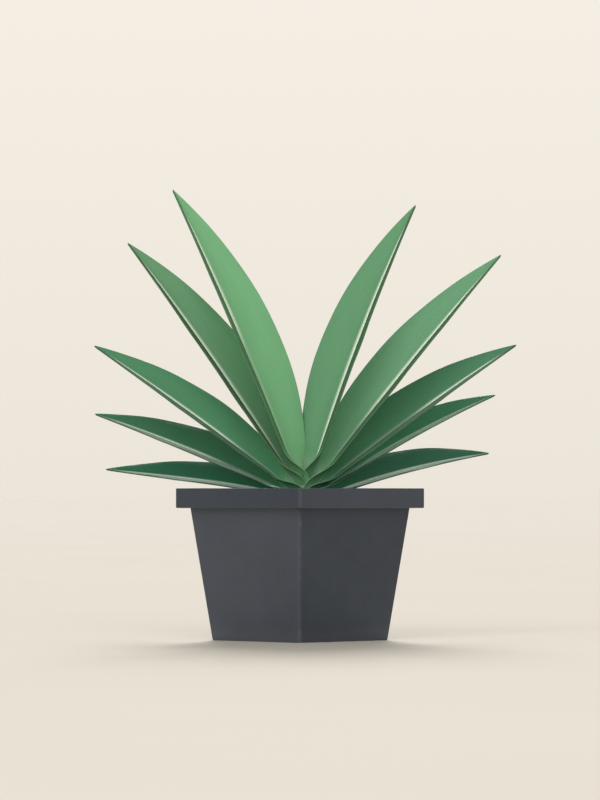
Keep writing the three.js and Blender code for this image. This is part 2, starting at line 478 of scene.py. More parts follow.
class BladePattern(Effect):
    """A strap leaf's markings: a pale midrib, fine veins along it, its two faces, and painted shade on
    the half that points to the facing side.

    Place carries the way along the leaf, the way across it from -1 at the margin that points to the
    facing side to 1 at the other, and which face it is: 1 for the upper one, 0 for the lower one.
    """

    title = "blade_pattern"
    takes = (
        ("Place", SocketKind.VECTOR),
        ("Face", SocketKind.COLOUR),
        ("Under", SocketKind.COLOUR),
        ("Midrib", SocketKind.COLOUR),
        ("Midrib Width", SocketKind.VALUE),
        ("Midrib Start", SocketKind.VALUE),
        ("Near Half", SocketKind.VALUE),
        ("Vein Contrast", SocketKind.VALUE),
    )
    gives = (
        ("Colour", SocketKind.COLOUR),
        ("Roughness", SocketKind.VALUE),
        ("Height", SocketKind.VALUE),
    )
    streak_stretch: Triple = (5.0, 30.0, 0.0)
    streak_layers: Span = (3.0, 0.6)
    vein_count: int = 15
    vein_share: float = 0.12
    cloud_stretch: Triple = (4.0, 1.4, 0.0)
    cloud_share: float = 0.8
    middle_tone: float = 0.9
    # paler towards the base: part the sheath's own paleness, part painted light over the shaded clasp
    pale_base_ends: Span = (0.02, 0.13)
    pale_base_share: float = 0.45
    past_base_ends: Span = (0.05, 0.2)
    midrib_edges: Span = (0.7, 1.5)
    midrib_tip: Span = (0.86, 0.97)
    midrib_height: float = 0.8
    start_ends: Span = (-0.12, 0.04)
    faint_start: float = 0.25
    keel_edge: float = 0.25
    keel_tip: Span = (0.8, 0.97)
    keel_greenness: float = 0.5
    keel_paleness: float = 0.45
    under_contrast: float = 1.9
    near_shade_ends: Span = (-0.05, -0.2)
    face_ends: Span = (0.55, 0.8)
    sheen_ends: Span = (0.2, 0.8)
    under_roughness: float = 0.7
    face_roughness: Span = (0.52, 0.85)
    roughness_swing: float = 0.08

    def veins(self, graph: Graph, place: NodeSocket, extent: NodeSocket) -> list[NodeSocket]:
        """Draws fine lines along the leaf, with streaks and slow clouds among them.

        Args:
            graph: The group's own graph.
            place: The place on the leaf.
            extent: How far it is from the midrib.

        Returns:
            The veins' height, and how far the tone is off its middle.
        """
        streaks = graph.noise(graph.stretch(place, self.streak_stretch), 1.0, *self.streak_layers)
        lines = graph.sum("COSINE", graph.times(extent, 2 * math.pi * self.vein_count))
        veins = graph.sum("MULTIPLY_ADD", lines, self.vein_share, streaks)
        cloud = graph.noise(graph.stretch(place, self.cloud_stretch), 1.0)
        tone = graph.sum("MULTIPLY_ADD", cloud, self.cloud_share, veins)
        return [veins, graph.sum("SUBTRACT", tone, self.middle_tone)]

    def wire(self, graph: Graph, given: dict[str, NodeSocket]) -> dict[str, NodeSocket]:
        """Lays veins and tone over each face's colour, then the midrib and the keel over both, and
        painted shade over the half that points to the facing side.

        Args:
            graph: The group's own graph.
            given: The group's inputs by name.

        Returns:
            The colour, the roughness and the height.
        """
        pale, width, contrast = given["Midrib"], given["Midrib Width"], given["Vein Contrast"]
        along, across, upper = graph.split(given["Place"])
        extent = graph.sum("ABSOLUTE", across)
        veins, uneven = self.veins(graph, given["Place"], extent)
        past_base = graph.ramp(along, *self.past_base_ends)
        inner, outer = (graph.times(width, edge) for edge in self.midrib_edges)
        band = graph.ramp(extent, inner, outer, 1.0, 0.0)
        band = graph.times(band, graph.ramp(along, *self.midrib_tip, 1.0, 0.0))
        inner = graph.times(width, self.keel_edge)
        keel = graph.ramp(extent, inner, width, self.keel_greenness, 0.0)
        keel = graph.times(keel, graph.ramp(along, *self.keel_tip, 1.0, 0.0))
        # near: painted shade on the half that points to the facing side, blended towards the underside's
        # colour
        near = graph.times(past_base, given["Near Half"])
        near = graph.times(graph.ramp(across, *self.near_shade_ends), near)

        face = graph.scale(given["Face"], graph.sum("MULTIPLY_ADD", uneven, contrast, 1.0))
        # pale base: part the sheath's own paleness, part painted light over the shaded clasp
        pale_base = graph.ramp(along, *self.pale_base_ends, self.pale_base_share, 0.0)
        face = graph.blend(pale_base, face, pale)
        begun = graph.sum("SUBTRACT", along, given["Midrib Start"])
        shown = graph.times(band, graph.ramp(begun, *self.start_ends, self.faint_start, 1.0))
        face = graph.blend(shown, face, pale)
        # painted shade over the near half
        face = graph.blend(near, face, given["Under"])

        stronger = graph.times(contrast, self.under_contrast)
        lined = graph.sum("MULTIPLY_ADD", uneven, stronger, 1.0)
        # near the base the underside takes the face's colour: painted light over the shaded clasp
        under = graph.scale(graph.blend(past_base, given["Face"], given["Under"]), lined)
        under = graph.blend(keel, under, given["Face"])
        under = graph.blend(graph.times(keel, self.keel_paleness), under, pale)

        silky = graph.ramp(near, 0.0, 1.0, *self.face_roughness)
        rough = graph.ramp(upper, *self.sheen_ends, self.under_roughness, silky)
        raised = graph.sum("MAXIMUM", band, keel)
        return {
            "Colour": graph.blend(graph.ramp(upper, *self.face_ends), under, face),
            "Roughness": graph.sum("MULTIPLY_ADD", uneven, self.roughness_swing, rough),
            "Height": graph.sum("MULTIPLY_ADD", raised, self.midrib_height, veins),
        }


MOTTLE, GRAIN, DUST, BLADE = Mottle(), Grain(), SettledDust(), BladePattern()


def mottled(graph: Graph, place: Feed, scale: float, ends: Span) -> NodeSocket:
    """Returns a value that drifts slowly between two ends."""
    return MOTTLE.place(graph, Place=place, Scale=scale, Low=ends[0], High=ends[1])["Value"]


def grained(graph: Graph, place: Feed, scale: float, coarse: float) -> NodeSocket:
    """Returns the height of a fine grain with a share of coarser lumps."""
    return GRAIN.place(graph, Place=place, Scale=scale, Coarse=coarse)["Height"]


def dusted(graph: Graph, place: Feed, scale: float, amount: float) -> NodeSocket:
    """Returns a mask of the dust that lies on what faces up."""
    return DUST.place(graph, Place=place, Scale=scale, Amount=amount)["Mask"]


class Surface:
    """A material with one Principled shader, and the graph that feeds it."""

    def __init__(self, name: str, gloss: float = 0.5) -> None:
        """Makes the material with its bare shader.

        Args:
            name: The material's name.
            gloss: How strongly it mirrors, with 0.5 for what is usual.
        """
        self.material = bpy.data.materials.new(name)
        self.material.use_nodes = True
        self.graph = Graph(self.material.node_tree)
        self.graph.tree.nodes.clear()
        self.shader = self.graph.node("ShaderNodeBsdfPrincipled")
        self.shader.inputs["Specular IOR Level"].default_value = gloss
        ending = self.graph.node("ShaderNodeOutputMaterial")
        self.graph.feed(ending.inputs["Surface"], self.shader.outputs[0])

    def dress(self, colour: Feed, rough: Feed, height: Feed, relief: Span) -> Material:
        """Feeds the shader.

        Args:
            colour: The base colour.
            rough: The roughness.
            height: The height that its normal follows.
            relief: How deep a height of 1 is, and how far the normal follows it.

        Returns:
            The finished material.
        """
        normal = self.graph.bump(height, *relief)
        given = {"Base Color": colour, "Roughness": rough, "Normal": normal}
        self.graph.feed_all(self.shader, given)
        return self.material


# ---- Finishes ----


@dataclass(frozen=True)
class LeafFinish:
    """A leathery leaf: silky face, greyer underside darkened by painted shade, painted shade on the half
    that points to the facing side, and a midrib that is pale past its start.
    """

    face: int
    midrib_start: float
    under: int = 0x4C6650
    midrib: int = 0xF3FFEA
    midrib_width: float = 0.1
    # how much painted shade the near half takes
    near_half_shade: float = 0.75
    vein_contrast: float = 0.22
    under_share: float = 0.5
    # the underside's greyer tone is its own; its darkening by this factor is painted shade
    under_painted_shade: float = 0.62
    gloss: float = 0.14
    dust: int = 0xC9C4B4
    dust_scale: float = 60.0
    dust_amount: float = 0.02
    relief: Span = (0.12, 0.5)

    def underside(self) -> Colour:
        """Returns the underside's colour: part the face's own and greyer, and darker as painted shade."""
        both = zip(tint(self.face)[:3], tint(self.under)[:3])
        return (*(mix(a, b, self.under_share) * self.under_painted_shade for a, b in both), 1.0)

    def material(self, name: str) -> Material:
        """Builds the finish.

        Args:
            name: The material's name.

        Returns:
            The material.
        """
        surface = Surface(name, self.gloss)
        graph = surface.graph
        pattern = BLADE.place(
            graph,
            Place=graph.own("blade"),
            Face=tint(self.face),
            Under=self.underside(),
            Midrib=tint(self.midrib),
            Midrib_Width=self.midrib_width,
            Midrib_Start=self.midrib_start,
            Near_Half=self.near_half_shade,
            Vein_Contrast=self.vein_contrast,
        )
        dust = dusted(graph, graph.here(), self.dust_scale, self.dust_amount)
        colour = graph.blend(dust, pattern["Colour"], tint(self.dust))
        return surface.dress(colour, pattern["Roughness"], pattern["Height"], self.relief)


@dataclass(frozen=True)
class PlasticFinish:
    """Moulded matte plastic whose faces carry painted light and painted shade in two close tones,
    changing at every corner and at the rim band.
    """

    ledge: float
    rim_top: float
    # light is painted light and dark is painted shade: the two tones alternate from face to face and swap
    # at the rim band
    light: int = 0x454A53
    dark: int = 0x3C424B
    scuffed: int = 0x6A6E75
    dust: int = 0xA9A79F
    gloss: float = 0.3
    cloud_scale: float = 22.0
    cloud: Span = (0.94, 1.06)
    corner_wear: Span = (0.4, 2.0)
    corner_amount: float = 0.5
    lip_wear: Span = (0.2, 0.9)
    foot_wear: Span = (0.2, 1.4)
    patch_noise: Triple = (160.0, 5.0, 0.7)
    patch_ends: Span = (0.48, 0.68)
    scuff_amount: float = 0.4
    dust_scale: float = 90.0
    dust_amount: float = 0.22
    splash_ends: Span = (1.0, 14.0)
    splash_amount: float = 0.05
    sheen_scale: float = 140.0
    sheen: Span = (0.5, 0.62)
    grain_scale: float = 1500.0
    grain_lumps: float = 0.6
    relief: Span = (0.06, 0.35)

    def lit_and_shaded_faces(self, graph: Graph, place: Sequence[NodeSocket]) -> NodeSocket:
        """Tells the faces painted as lit from those painted in shade.

        Args:
            graph: The material's graph.
            place: The place along each axis, in metres.

        Returns:
            1 on the faces painted as lit and 0 on those painted in shade.
        """
        # painted light on one face of each pair and painted shade on the next, swapped on the rim band
        facet = graph.sum("GREATER_THAN", graph.times(place[0], place[1]), 0.0)
        band = graph.sum("GREATER_THAN", place[2], self.ledge * MM)
        return graph.sum("ABSOLUTE", graph.sum("SUBTRACT", facet, band))

    def fading(self, graph: Graph, distance: Feed, ends: Span, most: float = 1.0) -> NodeSocket:
        """Returns most up to the first distance from an edge, and 0 past the second."""
        return graph.ramp(distance, ends[0] * MM, ends[1] * MM, most, 0.0)

    def scuffs(self, graph: Graph, place: Sequence[NodeSocket]) -> NodeSocket:
        """Wears the lip, the lower edge and the corners in patches.

        Args:
            graph: The material's graph.
            place: The place along each axis, in metres.

        Returns:
            How worn the surface is, 0 to 1.
        """
        x, y, z = place
        nearest = graph.sum("MINIMUM", graph.sum("ABSOLUTE", x), graph.sum("ABSOLUTE", y))
        corner = self.fading(graph, nearest, self.corner_wear, self.corner_amount)
        lip = self.fading(graph, graph.sum("SUBTRACT", self.rim_top * MM, z), self.lip_wear)
        foot = self.fading(graph, z, self.foot_wear)
        worn = graph.sum("MAXIMUM", corner, graph.sum("MAXIMUM", lip, foot))
        patches = graph.ramp(graph.noise(graph.here(), *self.patch_noise), *self.patch_ends)
        return graph.times(worn, patches)

    def material(self, name: str) -> Material:
        """Builds the finish.

        Args:
            name: The material's name.

        Returns:
            The material.
        """
        surface = Surface(name, self.gloss)
        graph = surface.graph
        here = graph.here()
        place = graph.split(here)
        # painted light and painted shade on alternate faces
        colour = graph.blend(self.lit_and_shaded_faces(graph, place), tint(self.dark), tint(self.light))
        cloud = mottled(graph, here, self.cloud_scale, self.cloud)
        colour = graph.scale(colour, cloud)
        worn = graph.times(self.scuffs(graph, place), self.scuff_amount)
        colour = graph.blend(worn, colour, tint(self.scuffed))
        lying = dusted(graph, here, self.dust_scale, self.dust_amount)
        splash = self.fading(graph, place[2], self.splash_ends, self.splash_amount)
        dirt = graph.sum("MAXIMUM", lying, graph.times(splash, cloud))
        colour = graph.blend(dirt, colour, tint(self.dust))
        rough = mottled(graph, here, self.sheen_scale, self.sheen)
        grain = grained(graph, here, self.grain_scale, self.grain_lumps)
        return surface.dress(colour, rough, grain, self.relief)


@dataclass(frozen=True)
class EarthFinish:
    """Potting soil, or one kind of the bits in it."""

    dark: int
    light: int
    grain: float = 900.0
    depth: float = 0.5
    relief: float = 0.9
    lumps: float = 1.4
    pit_ends: Span = (0.7, 1.5)
    pit_tones: Span = (-0.1, 0.5)
    tone_scale: float = 180.0
    tone_share: float = 0.6
    roughness: Span = (0.98, 0.86)
    gloss: float = 0.2

    def material(self, name: str) -> Material:
        """Builds the finish.

        Args:
            name: The material's name.

        Returns:
            The material.
        """
        surface = Surface(name, self.gloss)
        graph = surface.graph
        here = graph.here()
        tone = mottled(graph, here, self.tone_scale, (0.0, 1.0))
        grain = grained(graph, here, self.grain, self.lumps)
        pits = graph.ramp(grain, *self.pit_ends, *self.pit_tones)
        crumbs = graph.sum("MULTIPLY_ADD", tone, self.tone_share, pits, clamp=True)
        colour = graph.blend(crumbs, tint(self.dark), tint(self.light))
        rough = graph.ramp(crumbs, 0.0, 1.0, *self.roughness)
        return surface.dress(colour, rough, grain, (self.depth, self.relief))


@dataclass(frozen=True)
class CaneFinish:
    """A young cane: tan below, greener towards its bud, with darker leaf scars."""

    soil_top: float
    scar_step: float
    low: int = 0x9C8B62
    high: int = 0x87A169
    scar: int = 0x5C5138
    green_reach: float = 18.0
    scar_ends: Span = (0.6, 1.0)
    scar_amount: float = 0.6
    cloud_scale: float = 220.0
    cloud: Span = (0.85, 1.1)
    roughness: Span = (0.7, 0.52)
    grain_stretch: Triple = (1.0, 1.0, 0.25)
    grain_scale: float = 1400.0
    grain_lumps: float = 0.8
    relief: Span = (0.15, 0.6)

    def material(self, name: str) -> Material:
        """Builds the finish.

        Args:
            name: The material's name.

        Returns:
            The material.
        """
        surface = Surface(name)
        graph = surface.graph
        here = graph.here()
        z = graph.split(here)[2]
        foot = self.soil_top * MM
        rise = graph.ramp(z, foot, foot + self.green_reach * MM)
        colour = graph.blend(rise, tint(self.low), tint(self.high))
        above = graph.sum("SUBTRACT", z, foot)
        turn = graph.times(above, 2 * math.pi / (self.scar_step * MM))
        scars = graph.ramp(graph.sum("COSINE", turn), *self.scar_ends)
        colour = graph.blend(graph.times(scars, self.scar_amount), colour, tint(self.scar))
        cloud = mottled(graph, here, self.cloud_scale, self.cloud)
        drawn_out = graph.stretch(here, self.grain_stretch)
        grain = grained(graph, drawn_out, self.grain_scale, self.grain_lumps)
        rough = graph.ramp(cloud, *self.cloud, *self.roughness)
        return surface.dress(graph.scale(colour, cloud), rough, grain, self.relief)


@dataclass(frozen=True)
class FloorFinish:
    """A pale, painted studio floor that grows a little lighter with distance, in metres."""

    near: int = 0xE4DDD1
    far: int = 0xE6DFD5
    far_reach: float = 14.0
    gloss: float = 0.0
    cloud_scale: float = 1.5
    cloud: Span = (0.99, 1.01)
    roughness: Span = (0.9, 0.97)
    grain_scale: float = 700.0
    grain_lumps: float = 0.5
    relief: Span = (0.05, 0.2)

    def material(self, name: str) -> Material:
        """Builds the finish.

        Args:
            name: The material's name.

        Returns:
            The material.
        """
        surface = Surface(name, self.gloss)
        graph = surface.graph
        here = graph.here()
        cloud = mottled(graph, here, self.cloud_scale, self.cloud)
        grain = grained(graph, here, self.grain_scale, self.grain_lumps)
        distance = graph.ramp(graph.length(here), 0.0, self.far_reach)
        colour = graph.blend(distance, tint(self.near), tint(self.far))
        rough = graph.ramp(cloud, *self.cloud, *self.roughness)
        return surface.dress(graph.scale(colour, cloud), rough, grain, self.relief)


# ---- Mesh building ----


def new_object(name: str, points: Iterable[Vector], faces: Iterable[Sequence[int]]) -> Object:
    """Makes a smooth-shaded mesh object.

    Args:
        name: The object's name.
        points: Its corners, in millimetres.
        faces: Its faces, as rows of corner numbers.

    Returns:
        The object, linked to the scene.
    """
    mesh = bpy.data.meshes.new(name)
    mesh.from_pydata([point * MM for point in points], [], list(faces))
    mesh.validate()
    mesh.shade_smooth()
    made = bpy.data.objects.new(name, mesh)
    bpy.context.scene.collection.objects.link(made)
    return made


def skin(rings: Sequence[Ring], start: Vector, end: Vector) -> tuple[list[Vector], Faces]:
    """Closes a row of rings into one body.

    Args:
        rings: Rings with as many points each, counter-clockwise seen from the row's end.
        start: The point that closes the first ring.
        end: The point that closes the last ring.

    Returns:
        The body's points and its faces, which face out.
    """
    count = len(rings[0])
    points = [point for ring in rings for point in ring] + [start, end]
    first, final = len(points) - 2, len(points) - 1
    last = (len(rings) - 1) * count
    faces: Faces = []
    for j in range(count):
        after = (j + 1) % count
        faces += [(first, after, j), (final, last + j, last + after)]
        for row in range(0, last, count):
            faces.append((row + j, row + after, row + count + after, row + count + j))
    return points, faces


def set_flow(mesh: Mesh, name: str, values: Sequence[Triple]) -> None:
    """Gives each corner of a mesh a vector under a name, for its material to read."""
    made = mesh.attributes.new(name, "FLOAT_VECTOR", "POINT")
    made.data.foreach_set("vector", [part for value in values for part in value])


def apply_modifiers(piece: Object) -> None:
    """Fixes a piece's modifiers into its mesh.

    Args:
        piece: The piece, which is left without modifiers.
    """
    shape = piece.evaluated_get(bpy.context.evaluated_depsgraph_get())
    made = bpy.data.meshes.new_from_object(shape)
    piece.modifiers.clear()
    piece.data = made


def dress(piece: Object, node: str | None, slot: str, *materials: Material) -> Object:
    """Finishes a piece.

    Args:
        piece: The piece, in its place.
        node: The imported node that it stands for, if any.
        slot: The record's material slot.
        *materials: Its materials, in the order that its faces number them.

    Returns:
        The same piece, riding on the plant's one body.
    """
    for material in materials:
        piece.data.materials.append(material)
    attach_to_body(piece, BODY)
    if node is not None:
        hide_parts(node)
    log.info("%s: %d faces, slot %s", piece.name, len(piece.data.polygons), slot)
    return piece


# ---- Planter ----


@dataclass(frozen=True)
class Turn:
    """One point of the planter's wall, going round from the underside over the lip to the floor."""

    side: float
    z: float
    corner: float
    fillet: float = 0

    @property
    def spot(self) -> Vector:
        """The point in the wall's section: how far out it is, and how high."""
        return Vector((self.side / 2, self.z))

    def toward(self, other: Turn, share: float) -> Turn:
        """Returns the sharp turn a share of the way to another one."""
        ends = ((self.side, other.side), (self.z, other.z), (self.corner, other.corner))
        return Turn(*(mix(here, after, share) for here, after in ends))


@dataclass
class Planter:
    """A square tapered planter whose corners stand on the X and Y axes."""

    height: float
    rim_height: float = 14.5
    top_side: float = 115
    overhang: float = 7.5
    base_side: float = 92
    wall: float = 2.4
    floor: float = 3
    floor_fillet: float = 1.5
    outer_corner: float = 3
    inner_corner: float = 1.5
    edge: float = 0.8
    corner_steps: int = 9
    fillet_steps: int = 4
    side_rows: int = 10
    drain_radius: float = 5
    drain_distance: float = 36
    drain_count: int = 4
    drain_flare: float = 1.12
    drain_ease: float = 0.6
    drain_ends: Span = (-1, 5)
    drain_steps: int = 40
    sharp_angle: float = 40

    @property
    def ledge(self) -> float:
        """The height of the rim band's lower edge."""
        return self.height - self.rim_height

    def turns(self) -> list[Turn]:
        """Lists where the wall's section turns.

        Returns:
            The turns, from the underside's edge round to the inner floor's edge.
        """
        rim = self.top_side + 2 * self.overhang
        thin = 2 * self.wall
        out, inn, edge = self.outer_corner, self.inner_corner, self.edge
        return [
            Turn(self.base_side, 0, out, edge),
            Turn(self.top_side, self.ledge, out, edge / 2),
            Turn(rim, self.ledge, out, edge),
            Turn(rim, self.height, out, edge),
            Turn(rim - thin, self.height, inn, edge),
            Turn(rim - thin, self.ledge + self.wall, inn, edge / 2),
            Turn(self.top_side - thin, self.ledge + self.wall, inn, edge),
            Turn(self.top_side - thin, self.ledge, inn),
            Turn(self.base_side - thin, self.floor, inn, self.floor_fillet),
        ]

    def rounded(self) -> list[Turn]:
        """Rounds each turn by its fillet.

        Returns:
            The section as sharp turns, a few to each fillet.
        """
        turns = self.turns()
        first = Turn(0, turns[0].z, self.outer_corner)
        last = Turn(0, turns[-1].z, self.inner_corner)
        made: list[Turn] = []
        for before, here, after in zip([first, *turns], turns, [*turns[1:], last]):
            back = (before.spot - here.spot).normalized() * here.fillet
            on = (after.spot - here.spot).normalized() * here.fillet
            steps = self.fillet_steps if here.fillet else 0
            for step in range(steps + 1):
                share = step / steps if steps else 0.5
                bend = here.spot + back * (1 - share) ** 2 + on * share**2
                made.append(Turn(bend.x * 2, bend.y, here.corner))
        return made

    def section(self) -> list[Turn]:
        """Cuts the rounded section's long walls into rows.

        Returns:
            The wall's whole section.
        """
        turns = self.rounded()
        rows = [turns[0]]
        for here, after in zip(turns, turns[1:]):
            count = self.side_rows if abs(after.z - here.z) > self.rim_height * 2 else 1
            rows += [here.toward(after, step / count) for step in range(1, count + 1)]
        return rows

    def drain_cutter(self, middle: Vector) -> Object:
        """Makes the body that cuts one drain hole, wider at both faces of the floor.

        Args:
            middle: The hole's middle, on the underside.

        Returns:
            The cutter.
        """
        wide, ease = self.drain_radius * self.drain_flare, self.drain_ease
        below, above = self.drain_ends
        profile = (
            (wide, below),
            (wide, 0),
            (self.drain_radius, ease),
            (self.drain_radius, self.floor - ease),
            (wide, self.floor),
            (wide, above),
        )
        rings = [[middle + p for p in circle(size, z, self.drain_steps)] for size, z in profile]
        low, high = middle + UP * below, middle + UP * above
        return new_object("drain_cutter", *skin(rings, low, high))

    def drill(self, piece: Object) -> None:
        """Cuts the drain holes through the planter's floor.

        Args:
            piece: The planter.
        """
        for hole in range(self.drain_count):
            angle = hole * 2 * math.pi / self.drain_count
            outward = Vector((math.cos(angle), math.sin(angle), 0))
            cutter = self.drain_cutter(outward * self.drain_distance)
            cut = piece.modifiers.new("drain", "BOOLEAN")
            cut.operation, cut.solver, cut.object = "DIFFERENCE", "EXACT", cutter
            apply_modifiers(piece)
            bpy.data.objects.remove(cutter)

    def build(self) -> Object:
        """Builds, cuts and dresses the planter.

        Returns:
            The planter.
        """
        steps = self.corner_steps
        rings = [rounded_square(turn.side, turn.corner, turn.z, steps) for turn in self.section()]
        piece = new_object("planter_shell", *skin(rings, UP * 0, UP * self.floor))
        self.drill(piece)
        piece.data.shade_smooth()
        piece.data.set_sharp_from_angle(angle=math.radians(self.sharp_angle))
        piece.modifiers.new("even_shading", "WEIGHTED_NORMAL").keep_sharp = True
        finish = PlasticFinish(ledge=self.ledge, rim_top=self.height)
        return dress(piece, "planter", "planter", finish.material("charcoal_plastic"))


# ---- Soil ----


class CrumbKind(Enum):
    """The bits that lie on the soil: how many, how long and how slim they are, and their finish."""

    CLOD = ("clod", 520, 0.7, 2.4, 0.8, EarthFinish(0x2E221A, 0x66503A))
    BARK = ("bark", 110, 2.2, 5.5, 0.35, EarthFinish(0x4A3422, 0x8A6745, 1600, 0.3))
    PERLITE = ("perlite", 70, 0.6, 1.6, 0.85, EarthFinish(0xB9B4A8, 0xE6E3DA, 2200, 0.2))

    def __init__(
        self,
        title: str,
        count: int,
        smallest: float,
        largest: float,
        slimness: float,
        finish: EarthFinish,
    ) -> None:
        """Keeps the kind's numbers under names.

        Args:
            title: The kind's name.
            count: How many bits there are.
            smallest: The shortest one's length.
            largest: The longest one's length.
            slimness: The least that a bit's width is, as a share of its length.
            finish: The bits' finish.
        """
        self.title = title
        self.count = count
        self.smallest = smallest
        self.largest = largest
        self.slimness = slimness
        self.finish = finish


@dataclass
class Soil:
    """Potting soil that fills the planter, a little higher at the stem."""

    low: float
    top: float
    stem_x: float
    stem_radius: float
    mound: float = 4
    base_side: float = 88
    top_side: float = 108.6
    corner: float = 1.5
    corner_steps: int = 30
    side_steps: int = 24
    rows: int = 46
    ripple: float = 1.3
    ripple_size: float = 9
    ripple_layers: tuple[float, float, int] = (0.9, 2.1, 4)
    pebble_size: float = 1.7
    pebble_share: float = 0.4
    calm_from: float = 0.9
    seed: int = 11
    wall_gap: float = 2
    crumb_levels: tuple[float, ...] = (-0.75, -0.3, 0.2, 0.65)
    crumb_steps: int = 7
    crumb_least: float = 0.2
    crumb_lean: float = 0.4
    crumb_swell: float = 0.35
    crumb_lumps: float = 1.6
    crumb_spread: float = 50
    crumb_lift: float = 0.25

    @property
    def edge_height(self) -> float:
        """The soil's height along the planter's wall."""
        return self.top - self.mound

    def surface(self, x: float, y: float) -> float:
        """Measures the soil at a place.

        Args:
            x: The place along X.
            y: The place along Y.

        Returns:
            The soil's height there.
        """
        share = min((abs(x) + abs(y)) / (self.top_side / math.sqrt(2)), 1.0)
        mound = self.mound * math.cos(share * math.pi / 2)
        place = Vector((x, y, 0))
        rough = noise.fractal(place / self.ripple_size, *self.ripple_layers)
        rough += self.pebble_share * noise.noise(place / self.pebble_size)
        calm = 1 - smooth(share, self.calm_from, 1.0)
        return self.edge_height + mound + self.ripple * rough * calm

    def outline(self, side: float, z: float | None) -> Ring:
        """Draws a rounded square with finely cut sides.

        Args:
            side: The square's side.
            z: Its height, or None where it lies on the soil.

        Returns:
            Its points.
        """
        ring = rounded_square(side, min(self.corner, side / 4), 0, self.corner_steps)
        fine = []
        for here, after in zip(ring, ring[1:] + ring[:1]):
            count = self.side_steps if (after - here).length > side / 4 else 1
            fine += [here.lerp(after, step / count) for step in range(count)]
        return [Vector((p.x, p.y, self.surface(p.x, p.y) if z is None else z)) for p in fine]

    def build_bed(self) -> Object:
        """Builds the soil's body, with its rough top.

        Returns:
            The bed.
        """
        rings = [self.outline(self.base_side, self.low)]
        rings.append(self.outline(self.top_side, self.edge_height))
        for row in range(1, self.rows):
            rings.append(self.outline(self.top_side * (1 - row / self.rows) + 1, None))
        middle = Vector((0, 0, self.surface(0, 0)))
        return new_object("soil_bed", *skin(rings, UP * self.low, middle))

    def free_place(self, kind: CrumbKind, draw: random.Random) -> tuple[float, float]:
        """Draws places until one is clear of the wall and of the stem.

        Args:
            kind: What is to lie there.
            draw: Where the random numbers come from.

        Returns:
            The place along X and Y.
        """
        reach = self.top_side / math.sqrt(2) - kind.largest - self.wall_gap
        while True:
            x, y = draw.uniform(-reach, reach), draw.uniform(-reach, reach)
            clear = math.hypot(x - self.stem_x, y) > self.stem_radius + kind.largest / 2
            if abs(x) + abs(y) < reach and clear:
                return x, y

    def crumb(self, kind: CrumbKind, draw: random.Random) -> tuple[list[Vector], Faces]:
        """Shapes one irregular bit, half sunk into the soil at a random place.

        Args:
            kind: What it is.
            draw: Where the random numbers come from.

        Returns:
            Its points and its faces.
        """
        x, y = self.free_place(kind, draw)
        size = mix(kind.smallest, kind.largest, draw.random() ** 2) / 2
        wide, thin = draw.uniform(kind.slimness, 1), draw.uniform(kind.slimness, 1)
        stretch = Vector((1, wide, thin * kind.slimness + self.crumb_least))
        lean = self.crumb_lean
        axis = Vector((draw.uniform(-lean, lean), draw.uniform(-lean, lean), 1))
        spin = Quaternion(axis, draw.uniform(0, 2 * math.pi)).to_matrix()
        offset = Vector((draw.random(), draw.random(), draw.random())) * self.crumb_spread
        rings = []
        for level in self.crumb_levels:
            rings.append(circle(math.sqrt(1 - level * level), level, self.crumb_steps, level))
        points, faces = skin(rings, -UP, UP)
        place = Vector((x, y, self.surface(x, y) + size * self.crumb_lift))
        shaped = []
        for point in points:
            swell = 1 + self.crumb_swell * noise.noise(point * self.crumb_lumps + offset)
            spot = Vector([p * s for p, s in zip(point * size * swell, stretch)])
            shaped.append(place + spin @ spot)
        return shaped, faces

    def build_crumbs(self) -> Object:
        """Builds all the bits that lie on the soil.

        Returns:
            The bits, as one piece.
        """
        draw = random.Random(self.seed)
        points: list[Vector] = []
        faces: Faces = []
        kinds: list[int] = []
        for number, kind in enumerate(CrumbKind):
            for _ in range(kind.count):
                made, sides = self.crumb(kind, draw)
                faces += [tuple(len(points) + corner for corner in side) for side in sides]
                points += made
                kinds += [number] * len(sides)
        piece = new_object("soil_crumbs", points, faces)
        piece.data.polygons.foreach_set("material_index", kinds)
        return piece

    def build(self) -> list[Object]:
        """Builds and dresses the soil and what lies on it.

        Returns:
            The bed and its crumbs.
        """
        earth = EarthFinish(dark=0x2A1F18, light=0x59432F)
        materials = [kind.finish.material(f"soil_{kind.title}") for kind in CrumbKind]
        bed = dress(self.build_bed(), "soil", "soil", earth.material("potting_soil"))
        return [bed, dress(self.build_crumbs(), None, "soil", *materials)]


# ---- Stem ----


